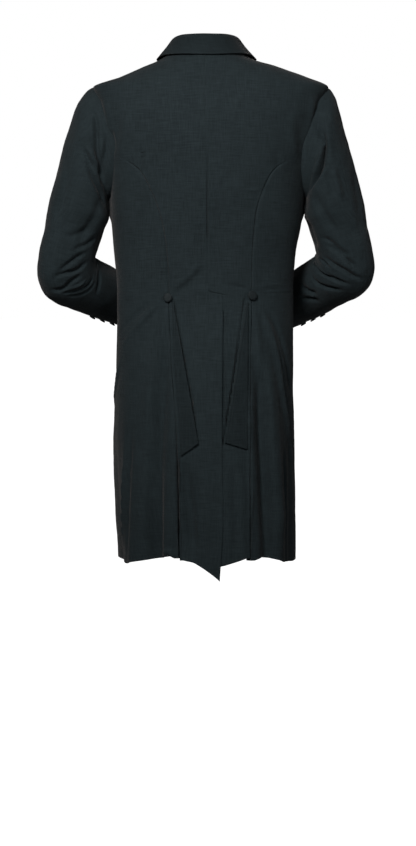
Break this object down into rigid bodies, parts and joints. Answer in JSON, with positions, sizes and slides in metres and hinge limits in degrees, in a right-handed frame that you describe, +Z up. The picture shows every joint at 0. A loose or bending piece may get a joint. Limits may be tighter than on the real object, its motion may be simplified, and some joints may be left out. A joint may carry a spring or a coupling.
{
  "type": "frock coat",
  "caption": "Men's knee-length black wool frock coat, worn, with a turned-down collar, bent sleeves, a waist seam, hip buttons, back pleats with side edges and a centre vent.",
  "frame": {"origin": "middle of the neck opening, level with the lower edge of the collar", "axes": "+Z up; the coat faces -Y and its back faces +Y; +X towards the wearer's left"},
  "size_m": [0.6732, 0.3666, 1.0721],
  "materials": {
    "black_wool": "matt black wool broadcloth",
    "covered_button": "cloth-covered button, slightly worn"
  },
  "bodies": {
    "root": {"back_l": "black_wool", "back_r": "black_wool", "side_body_l": "black_wool", "side_body_r": "black_wool", "front_l": "black_wool", "front_r": "black_wool", "skirt_l": "black_wool", "skirt_r": "black_wool", "sleeve_top_l": "black_wool", "sleeve_top_r": "black_wool", "sleeve_under_l": "black_wool", "sleeve_under_r": "black_wool", "lapel_l": "black_wool", "lapel_r": "black_wool", "pleat_flap_l": "black_wool", "pleat_flap_r": "black_wool", "collar": "black_wool", "hip_button_l": "covered_button", "hip_button_r": "covered_button", "cuff_button_l1": "covered_button", "cuff_button_l2": "covered_button", "cuff_button_l3": "covered_button", "cuff_button_r1": "covered_button", "cuff_button_r2": "covered_button", "cuff_button_r3": "covered_button", "front_button_1": "covered_button", "front_button_2": "covered_button", "front_button_3": "covered_button"}
  },
  "joints": []
}
